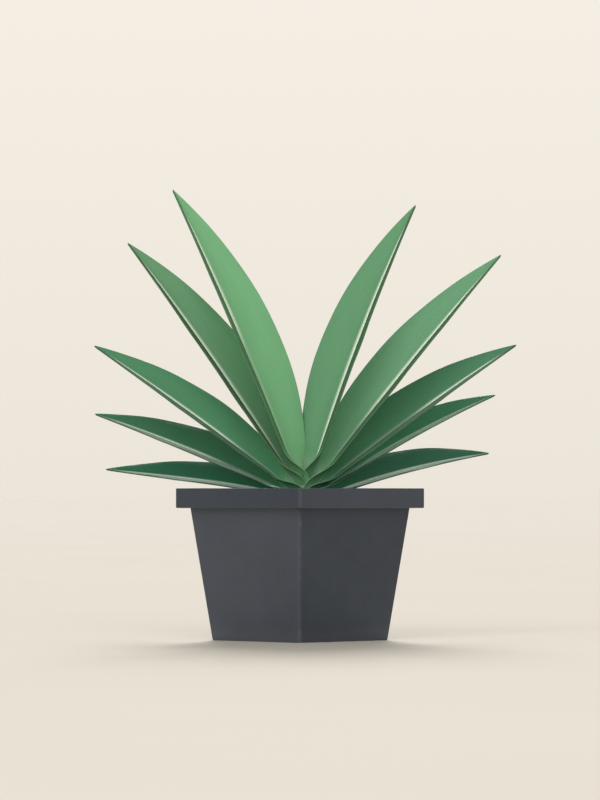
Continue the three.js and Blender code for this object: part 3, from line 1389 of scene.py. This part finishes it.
@dataclass
class Stem:
    """The short cane that the leaves grow on, with its leaf scars and its bud."""

    x: float
    soil_top: float
    radius: float = 8
    buried: float = 28
    buried_radius: float = 6
    shoulder: float = 6.4
    height: float = 17
    bud_radius: float = 5
    bud_height: float = 7
    bud_turn: float = 0.6
    tip_radius: float = 0.15
    tip_gap: float = 0.1
    scar_step: float = 2.6
    scar_depth: float = 0.35
    scar_sharpness: int = 6
    swell: float = 0.02
    swell_round: float = 2
    swell_rise: float = 4
    rows: int = 110
    steps: int = 56

    def radius_at(self, z: float) -> float:
        """Measures the cane.

        Args:
            z: A height above the soil.

        Returns:
            The cane's radius there.
        """
        outline = [
            (-self.buried, self.buried_radius),
            (0, self.radius),
            (self.shoulder, self.radius),
            (self.height, self.bud_radius),
            (self.height + self.bud_height * self.bud_turn, self.bud_radius * self.bud_turn),
            (self.height + self.bud_height, 0),
        ]
        plain = 0.0
        for (low, wide), (high, narrow) in zip(outline, outline[1:]):
            if low <= z <= high:
                plain = mix(wide, narrow, (z - low) / (high - low))
        groove = 0.0
        if 0 < z < self.height:
            groove = max(math.cos(2 * math.pi * z / self.scar_step), 0) ** self.scar_sharpness
        return max(plain - self.scar_depth * groove, self.tip_radius)

    def ring(self, z: float) -> Ring:
        """Draws the cane's outline, which isn't quite round.

        Args:
            z: A height above the soil.

        Returns:
            The outline's points.
        """
        points = []
        for step in range(self.steps):
            angle = 2 * math.pi * step / self.steps
            x, y = math.cos(angle), math.sin(angle)
            place = Vector((x * self.swell_round, y * self.swell_round, z / self.swell_rise))
            size = self.radius_at(z) * (1 + self.swell * noise.noise(place))
            points.append(Vector((self.x + size * x, size * y, self.soil_top + z)))
        return points

    def build(self) -> Object:
        """Builds and dresses the cane.

        Returns:
            The cane.
        """
        top = self.height + self.bud_height
        shares = [row / (self.rows - 1) for row in range(self.rows)]
        rings = [self.ring(mix(-self.buried, top - self.tip_gap, share)) for share in shares]
        low = Vector((self.x, 0, self.soil_top - self.buried))
        high = Vector((self.x, 0, self.soil_top + top))
        piece = new_object("cane", *skin(rings, low, high))
        finish = CaneFinish(soil_top=self.soil_top, scar_step=self.scar_step)
        return dress(piece, "stem", "stem", finish.material("green_cane"))


# ---- Leaves ----


class Side(Enum):
    """Which side of the plant a leaf grows to."""

    LEFT = "left"
    RIGHT = "right"


@dataclass(frozen=True)
class LeafPlan:
    """What is one leaf's own.

    Tier 1 is the youngest and highest. The azimuth counts from +X towards +Y. Reach and rise go
    from the crown to the tip, and attach is the base's height above the soil. Tilt is how far the
    upper half leans back, bow how far the middle is drawn in towards the plant's middle, arch how far the
    middle stands above a straight line, and lift how far the foot is raised clear of the rim.
    Line_start is the share of the length from which the midrib is pale.
    """

    side: Side
    tier: int
    azimuth: float
    reach: float
    rise: float
    half_width: float
    attach: float
    tilt: float
    bow: float
    arch: float
    lift: float
    line_start: float
    colour: int

    @property
    def name(self) -> str:
        """The leaf's side and tier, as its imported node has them."""
        return f"{self.side.value}_{self.tier}"


LEAF_PLANS = (
    LeafPlan(Side.RIGHT, 1, -13, 83, 215, 29.5, 15, 20, 5, 5, 0, 0.06, 0x6BA176),
    LeafPlan(Side.LEFT, 1, 202, 103, 225, 31, 13, 20, 5, 2.5, 0, 0.55, 0x7FBD89),
    LeafPlan(Side.LEFT, 2, 191, 131, 187, 30, 11.5, 24, 6, 2.5, 0, 0.2, 0x73A77C),
    LeafPlan(Side.RIGHT, 2, -5, 144, 179, 28.5, 10, 24, 6, 1.5, 0, 0.37, 0x72A97F),
    LeafPlan(Side.LEFT, 3, 180, 154, 113, 25.5, 8.5, 32, 4, 1, 0, 0.38, 0x5A966E),
    LeafPlan(Side.RIGHT, 3, 4, 156, 114, 28.5, 7, 32, 4, 1.5, 0, 0.6, 0x558C68),
    LeafPlan(Side.LEFT, 4, 160, 166, 64, 25.5, 5.5, 38, 0, 1.5, 0, 0.46, 0x467F5D),
    LeafPlan(Side.RIGHT, 4, 21, 152, 78, 22.5, 4.5, 36, 0, 5, 0, 0.38, 0x5DA57B),
    LeafPlan(Side.LEFT, 5, 143, 188, 23, 19.5, 3, 34, 0, 0, 5.5, 0.06, 0x387A59),
    LeafPlan(Side.RIGHT, 5, 36, 172, 35, 21.5, 2, 34, 0, 4, 0, 0.06, 0x447D61),
)


class Rib:
    """A leaf's midrib: a smooth curve that is walked by length."""

    SAMPLES = 400

    def __init__(self, steers: Sequence[Vector]) -> None:
        """Measures the curve.

        Args:
            steers: The four points that steer it.
        """
        self.steers = steers
        self.lengths = [0.0]
        spots = [self.spot(step / self.SAMPLES) for step in range(self.SAMPLES + 1)]
        for here, after in zip(spots, spots[1:]):
            self.lengths.append(self.lengths[-1] + (after - here).length)

    def spot(self, t: float) -> Vector:
        """Finds a point on the curve.

        Args:
            t: The curve's own parameter, 0 to 1.

        Returns:
            The point.
        """
        a, b, c, d = self.steers
        s = 1 - t
        return a * s**3 + b * (3 * s * s * t) + c * (3 * s * t * t) + d * t**3

    def parameter(self, share: float) -> float:
        """Turns a length into the curve's own parameter.

        Args:
            share: The share of the whole length.

        Returns:
            The parameter, 0 to 1.
        """
        aim = share * self.lengths[-1]
        step = next((i for i, length in enumerate(self.lengths) if length >= aim), self.SAMPLES)
        if step == 0:
            return 0.0
        low, high = self.lengths[step - 1], self.lengths[step]
        return (step - 1 + (aim - low) / (high - low)) / self.SAMPLES

    def at(self, share: float) -> tuple[Vector, Vector]:
        """Walks along the curve.

        Args:
            share: The share of the whole length.

        Returns:
            The point and the direction there.
        """
        t = self.parameter(share)
        a, b, c, d = self.steers
        s = 1 - t
        slope = (b - a) * (s * s) + (c - b) * (2 * s * t) + (d - c) * (t * t)
        return self.spot(t), slope.normalized()


@dataclass
class Leaf:
    """A pointed blade, folded along its midrib, that clasps the stem and faces the facing side."""

    plan: LeafPlan
    stem_x: float
    soil_top: float
    crown_height: float = 6.4
    start: float = 2
    low_share: float = 0.1
    middle_share: float = 0.55
    thickness: float = 1.5
    margin_thickness: float = 0.8
    base_half_width: float = 6
    shape: float = 0.87
    half_arch: float = 0.06
    base_fold: float = 50
    edge_dip: float = 1.5
    turn_end: float = 0.14
    tip_thinning: float = 0.7
    rows: int = 110
    last_row: float = 0.992
    half_steps: int = 20
    valley: float = 0.08
    valley_step: float = 0.03
    valley_steps: int = 3
    rounding: float = 0.04
    rounding_shares: tuple[float, ...] = (0.5, 0.2, 0)
    vein_count: int = 5
    vein_depth: float = 0.07
    keel_depth: float = 0.6
    keel_width: float = 0.07
    wave_depth: float = 0.35
    wave_count: int = 7

    def face_of(self, tangent: Vector) -> Vector:
        """Returns the way up that is square to the midrib and level with the facing plane."""
        face = square_to(FACING, tangent).cross(tangent).normalized()
        return -face if face.z < 0 else face

    def rib(self) -> Rib:
        """Lays the midrib.

        Returns:
            The midrib, from inside the stem to the tip.
        """
        plan = self.plan
        angle = math.radians(plan.azimuth)
        outward = Vector((math.cos(angle), math.sin(angle), 0))
        span = outward * plan.reach + UP * plan.rise
        crown = Vector((self.stem_x, 0, self.soil_top + self.crown_height))
        base = Vector((self.stem_x, 0, self.soil_top + plan.attach)) + outward * self.start
        inward = -math.copysign(plan.bow, outward.dot(FACING))
        low = crown + span * self.low_share + UP * plan.lift
        middle = crown + span * self.middle_share + FACING * inward
        middle += self.face_of(span.normalized()) * plan.arch
        return Rib((base, low, middle, crown + span))

    def half_width(self, share: float) -> float:
        """Measures the blade.

        Args:
            share: The share of the leaf's length.

        Returns:
            The blade's half width there.
        """
        along = share**self.shape
        clasp = self.base_half_width * (1 - smooth(share, 0, self.turn_end))
        return self.plan.half_width * 4 * along * (1 - along) + clasp

    def section(self, tangent: Vector, share: float) -> tuple[Vector, float]:
        """Folds the blade.

        Args:
            tangent: The midrib's direction.
            share: The share of the leaf's length.

        Returns:
            The way that the channel opens to, and the angle from it to each half, in radians.
        """
        roll = math.radians((90 + self.edge_dip - self.plan.tilt) / 2)
        fold = math.radians((90 + self.edge_dip + self.plan.tilt) / 2)
        turned = smooth(share, 0, self.turn_end)
        blade = self.face_of(tangent) * math.cos(roll)
        blade += square_to(FACING, tangent) * math.sin(roll)
        opening = square_to(square_to(UP, tangent).lerp(blade, turned), tangent)
        return opening, mix(math.radians(self.base_fold), fold, turned)

    def extents(self) -> list[float]:
        """Spaces the points across one half, closer at both ends.

        Returns:
            Their places, from 0 at the midrib to 1 at the margin.
        """
        inner = [self.valley_step * step for step in range(self.valley_steps)]
        outer = [1 - self.rounding * share for share in self.rounding_shares]
        low, high = self.valley_step * self.valley_steps, 1 - self.rounding
        count = self.half_steps - len(inner) - len(outer)
        return inner + [mix(low, high, step / (count - 1)) for step in range(count)] + outer

    def ring(self, point: Vector, tangent: Vector, share: float) -> tuple[Ring, list[Triple]]:
        """Builds one cross-section.

        Args:
            point: The midrib's point.
            tangent: The midrib's direction.
            share: The share of the leaf's length.

        Returns:
            The section's points, over the upper face and back under the lower one, and for each the
            way along, the way across and the face: 1 for upper, 0 for lower and 0.5 for the margin.
        """
        opening, fold = self.section(tangent, share)
        side = tangent.cross(opening)
        width = self.half_width(share)
        thinning = mix(1, self.tip_thinning, share)
        fade = math.sin(math.pi * share)
        swing = math.sin(self.wave_count * math.pi * share + self.plan.azimuth)
        half = self.extents()
        upper: list[tuple[Vector, float, float]] = []
        lower: list[tuple[Vector, float, float]] = []
        for across in [-e for e in reversed(half[1:])] + half:
            extent, sign = abs(across), math.copysign(1, across)
            out = opening * math.cos(fold) + side * (sign * math.sin(fold))
            flat = opening * math.sin(fold) - side * (sign * math.cos(fold))
            normal = opening.lerp(flat, smooth(extent, 0, self.valley)).normalized()
            bulge = self.half_arch * width * 4 * extent * (1 - extent)
            wave = self.wave_depth * fade * extent**2 * swing
            ribbing = self.vein_depth * fade * math.cos(2 * math.pi * self.vein_count * extent)
            middle = point + out * (width * extent) + flat * (bulge + wave)
            plain = mix(self.thickness, self.margin_thickness, extent) * thinning / 2
            past = max((extent - 1 + self.rounding) / self.rounding, 0)
            edge = math.sqrt(max(1 - past * past, 0))
            keel = self.keel_depth * thinning * math.exp(-((extent / self.keel_width) ** 2))
            face = 1.0 if extent < 1 else 0.5
            upper.append((middle + normal * ((plain + ribbing) * edge), across, face))
            if extent < 1:
                lower.insert(0, (middle - normal * ((plain + keel) * edge), across, 0.0))
        row = upper + lower
        hand = 1 if self.plan.side is Side.LEFT else -1
        flow = [(share, hand * across, face) for _, across, face in row]
        return [spot for spot, _, _ in row], flow

    def build(self) -> Object:
        """Builds and dresses the leaf.

        Returns:
            The leaf's blade.
        """
        rib = self.rib()
        rings: list[Ring] = []
        flow: list[Triple] = []
        for row in range(self.rows):
            share = row / (self.rows - 1) * self.last_row
            ring, places = self.ring(*rib.at(share), share)
            rings.append(ring)
            flow += places
        start, end = rib.at(0)[0], rib.at(1)[0]
        name, tier = self.plan.name, self.plan.tier
        piece = new_object(f"blade_{name}", *skin(rings, start, end))
        set_flow(piece.data, "blade", [*flow, (0.0, 0.0, 1.0), (1.0, 0.0, 1.0)])
        finish = LeafFinish(face=self.plan.colour, midrib_start=self.plan.line_start)
        material = finish.material(f"leaf_green_{name}")
        return dress(piece, f"leaf_{name}", f"leaf_tier_{tier}", material)


@dataclass
class Dracaena:
    """The whole plant: its cane and its ten leaves."""

    stem_x: float
    soil_top: float

    def build(self) -> list[Object]:
        """Builds and dresses the plant.

        Returns:
            The cane and the blades.
        """
        pieces = [Stem(x=self.stem_x, soil_top=self.soil_top).build()]
        for plan in LEAF_PLANS:
            blade = Leaf(plan=plan, stem_x=self.stem_x, soil_top=self.soil_top).build()
            self.compare(blade, f"leaf_{plan.name}")
            pieces.append(blade)
        return pieces

    def compare(self, blade: Object, node: str) -> None:
        """Reports how far a blade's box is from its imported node's.

        Args:
            blade: The blade.
            node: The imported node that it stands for.
        """
        low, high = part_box(node)
        off = 0.0
        for axis in range(3):
            places = [corner[axis] for corner in blade.bound_box]
            off = max(off, abs(min(places) - low[axis]), abs(max(places) - high[axis]))
        log.info("%s: box differs by at most %.1f mm", node, off / MM)


# ---- Studio ----


@dataclass(frozen=True)
class Lamp:
    """A broad light: where it comes from, its share of full daylight and how wide it is."""

    name: str
    toward: Triple
    strength: float
    spread: float

    def build(self) -> Object:
        """Adds the light.

        Returns:
            The light.
        """
        light = bpy.data.lights.new(self.name, "SUN")
        light.energy = self.strength * math.pi
        light.angle = math.radians(self.spread)
        made = bpy.data.objects.new(self.name, light)
        made.rotation_euler = Vector(self.toward).to_track_quat("Z", "Y").to_euler()
        bpy.context.scene.collection.objects.link(made)
        return made


LAMPS = (
    Lamp("window", (-0.25, -1.6, 0.3), 0.8, 70),
    Lamp("skylight", (0.0, 1.0, 0.62), 1.14, 24),
)


@dataclass
class Studio:
    """A pale floor that runs out of sight, even daylight, and a long lens at the rim's height.

    Lengths are in metres here, apart from the sensor's.
    """

    eye_height: float
    distance: float = 3.5
    frame_height: float = 0.585
    frame_middle: float = 0.1755
    sensor: float = 36.0
    near_clip: float = 0.1
    floor_radius: float = 60.0
    floor_rings: int = 24
    floor_growth: int = 3
    floor_spokes: int = 96
    daylight: float = 0.26
    daylight_tint: int = 0xFFFCF8
    horizon: int = 0xECE5D9
    zenith: int = 0xF5EEE4
    zenith_height: float = 0.101

    def build_floor(self) -> Object:
        """Lays the floor.

        Returns:
            The floor.
        """
        spokes = self.floor_spokes
        points = [Vector((0, 0, 0))]
        for row in range(self.floor_rings):
            share = ((row + 1) / self.floor_rings) ** self.floor_growth
            points += circle(self.floor_radius / MM * share, 0, spokes)
        faces: Faces = [(0, 1 + j, 1 + (j + 1) % spokes) for j in range(spokes)]
        for row in range(self.floor_rings - 1):
            for j in range(spokes):
                here, after = 1 + row * spokes + j, 1 + row * spokes + (j + 1) % spokes
                faces.append((here, here + spokes, after + spokes, after))
        floor = new_object("studio_floor", points, faces)
        floor.data.materials.append(FloorFinish().material("painted_floor"))
        return floor

    def build_world(self) -> None:
        """Lights the scene evenly, and shows a pale wash behind it."""
        world = bpy.data.worlds.new("pale_wash")
        world.use_nodes = True
        bpy.context.scene.world = world
        graph = Graph(world.node_tree)
        graph.tree.nodes.clear()
        direction = graph.node("ShaderNodeTexCoord").outputs["Generated"]
        height = graph.node("ShaderNodeMapRange")
        given = {"Value": graph.split(direction)[2], "From Max": self.zenith_height}
        graph.feed_all(height, given)
        colour = graph.blend(height.outputs[0], tint(self.horizon), tint(self.zenith))
        wash, light = graph.node("ShaderNodeBackground"), graph.node("ShaderNodeBackground")
        graph.feed(wash.inputs["Color"], colour)
        graph.feed_all(light, {"Color": tint(self.daylight_tint), "Strength": self.daylight})
        seen = graph.node("ShaderNodeLightPath").outputs["Is Camera Ray"]
        choose = graph.node("ShaderNodeMixShader")
        for socket, value in zip(choose.inputs, (seen, light.outputs[0], wash.outputs[0])):
            graph.feed(socket, value)
        ending = graph.node("ShaderNodeOutputWorld")
        graph.feed(ending.inputs["Surface"], choose.outputs[0])

    def build_camera(self) -> Object:
        """Sets up the camera, level with the rim and aimed at the view's middle.

        Returns:
            The camera.
        """
        lens = bpy.data.cameras.new("long_lens")
        lens.sensor_width = self.sensor
        lens.lens = self.sensor * self.distance / self.frame_height
        lens.clip_start, lens.clip_end = self.near_clip, self.floor_radius * 2
        camera = bpy.data.objects.new("long_lens", lens)
        camera.location = (0, -self.distance, self.eye_height)
        aim = Vector((0, self.distance, self.frame_middle - self.eye_height))
        camera.rotation_euler = aim.to_track_quat("-Z", "Y").to_euler()
        bpy.context.scene.collection.objects.link(camera)
        bpy.context.scene.camera = camera
        return camera

    def build(self) -> None:
        """Builds the camera, the floor and the lights."""
        self.build_camera()
        self.build_floor()
        self.build_world()
        for lamp in LAMPS:
            lamp.build()
        bpy.context.scene.view_settings.view_transform = "Standard"
        bpy.context.scene.view_settings.look = "None"
        log.info("studio ready, eye at %.3f m", self.eye_height)


# ---- Assembly ----


def main() -> None:
    """Builds the potted plant and its studio."""
    logging.basicConfig(level=logging.INFO, format="%(name)s: %(message)s")
    rim_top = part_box("planter")[1].z
    stem_low, stem_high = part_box("stem")
    soil_low = (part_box("soil")[0] / MM).z
    stem_x = (stem_low.x + stem_high.x) / 2 / MM
    soil_top = stem_low.z / MM + Stem.buried
    Studio(eye_height=rim_top).build()
    Planter(height=rim_top / MM).build()
    Soil(low=soil_low, top=soil_top, stem_x=stem_x, stem_radius=Stem.radius).build()
    Dracaena(stem_x=stem_x, soil_top=soil_top).build()


if __name__ == "__main__":
    main()
